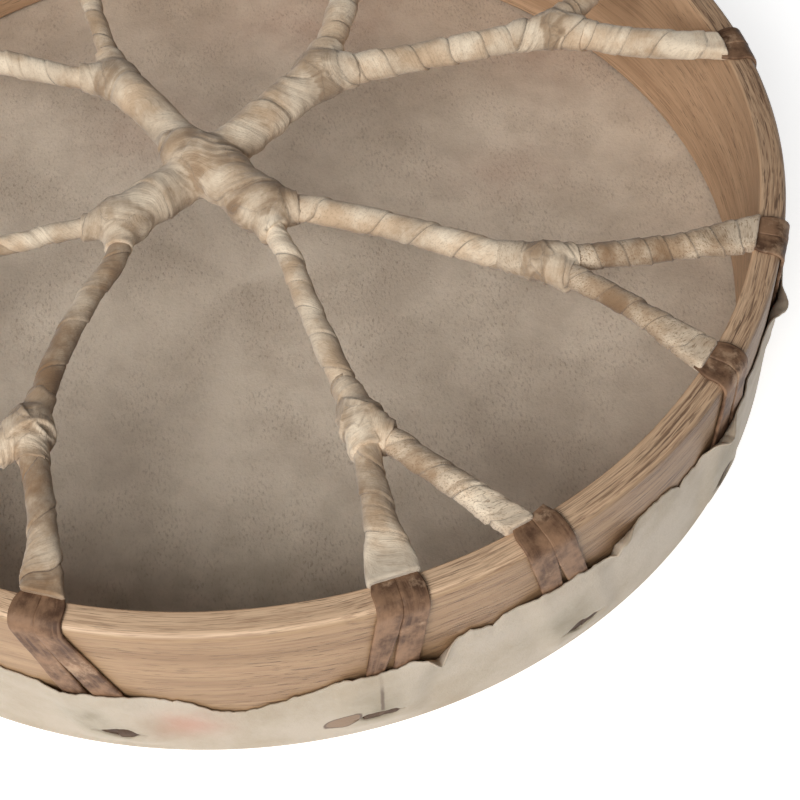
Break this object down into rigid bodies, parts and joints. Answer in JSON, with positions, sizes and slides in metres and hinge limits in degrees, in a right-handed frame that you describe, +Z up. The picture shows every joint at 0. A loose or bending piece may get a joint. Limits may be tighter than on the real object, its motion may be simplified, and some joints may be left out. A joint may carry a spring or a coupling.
{
  "type": "frame drum",
  "caption": "Ceremonial frame drum: a bent wood hoop with a rawhide head, laced over the open back into a forked hand web wound with soft leather.",
  "frame": {"origin": "on the underside of the drum head, under the middle of the drum, with the drum lying on its head", "axes": "+Z up, out of the open back, along the axis of the hoop; -Y towards the side that the picture looks from"},
  "size_m": [0.4572, 0.4572, 0.0913],
  "materials": {
    "hoop_wood": "hand-sanded, oiled, open grain along the hoop",
    "rawhide": "dried rawhide, matt inside, slightly waxy outside",
    "lace": "dark translucent rawhide straps, satin",
    "buckskin": "soft undyed suede strips, matt, worn"
  },
  "bodies": {
    "root": {"hoop": "hoop_wood", "drum_skin": "rawhide", "hub_wrap": "buckskin", "arm_wrap_1": "buckskin", "arm_wrap_2": "buckskin", "arm_wrap_3": "buckskin", "arm_wrap_4": "buckskin", "arm_wrap_5": "buckskin", "arm_wrap_6": "buckskin", "arm_wrap_7": "buckskin", "arm_wrap_8": "buckskin", "leg_wrap_01": "buckskin", "leg_wrap_02": "buckskin", "leg_wrap_03": "buckskin", "leg_wrap_04": "buckskin", "leg_wrap_05": "buckskin", "leg_wrap_06": "buckskin", "leg_wrap_07": "buckskin", "leg_wrap_08": "buckskin", "leg_wrap_09": "buckskin", "leg_wrap_10": "buckskin", "leg_wrap_11": "buckskin", "leg_wrap_12": "buckskin", "leg_wrap_13": "buckskin", "leg_wrap_14": "buckskin", "leg_wrap_15": "buckskin", "leg_wrap_16": "buckskin", "rim_lace_01": "lace", "rim_lace_02": "lace", "rim_lace_03": "lace", "rim_lace_04": "lace", "rim_lace_05": "lace", "rim_lace_06": "lace", "rim_lace_07": "lace", "rim_lace_08": "lace", "rim_lace_09": "lace", "rim_lace_10": "lace", "rim_lace_11": "lace", "rim_lace_12": "lace", "rim_lace_13": "lace", "rim_lace_14": "lace", "rim_lace_15": "lace", "rim_lace_16": "lace"}
  },
  "joints": []
}
